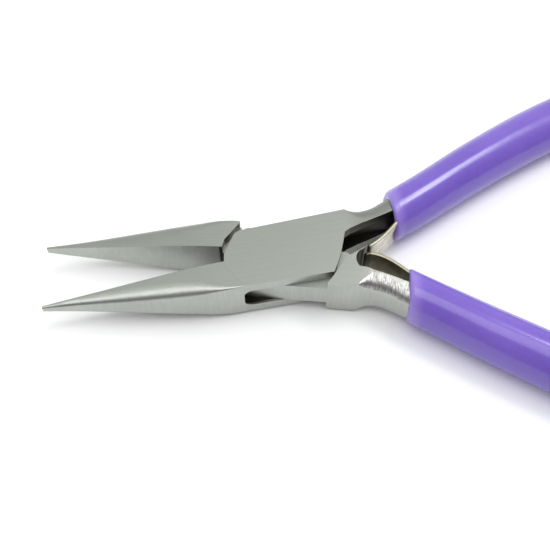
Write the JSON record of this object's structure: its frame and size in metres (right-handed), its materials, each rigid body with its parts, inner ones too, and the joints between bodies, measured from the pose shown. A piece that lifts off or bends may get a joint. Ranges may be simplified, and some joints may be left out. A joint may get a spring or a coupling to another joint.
{
  "type": "chain nose pliers",
  "caption": "Small spring-opened jeweller's pliers with a box joint, slim half-round jaws that are flat inside, and dipped plastic handle sleeves.",
  "frame": {"origin": "on the pivot axis, at the joint's rear flat face", "axes": "+Z along the pivot axis towards the front face, jaws towards -X and handles towards +X, with the two halves open to equal angles either side of the X axis"},
  "size_m": [0.1245, 0.0765, 0.0097],
  "materials": {
    "steel": "satin ground steel with fine grinding lines",
    "spring_steel": "bright flat spring steel with a warm tint",
    "sleeve": "glossy dipped purple vinyl"
  },
  "bodies": {
    "box_side": {"box_half": "steel", "pivot_pin": "steel", "upper_leaf_spring": "spring_steel", "upper_spring_rivet": "spring_steel", "upper_grip": "sleeve"},
    "tongue_side": {"tongue_half": "steel", "lower_leaf_spring": "spring_steel", "lower_spring_rivet": "spring_steel", "lower_grip": "sleeve"}
  },
  "joints": [
    {"name": "jaw_pivot", "type": "hinge", "parent": "box_side", "child": "tongue_side", "pos_m": [0, 0, 0.00415], "axis": [0, 0, 1], "range_deg": [-8, 15.8], "stiffness_Nm_per_rad": 1.5, "deforming": ["upper_leaf_spring", "lower_leaf_spring"]}
  ]
}
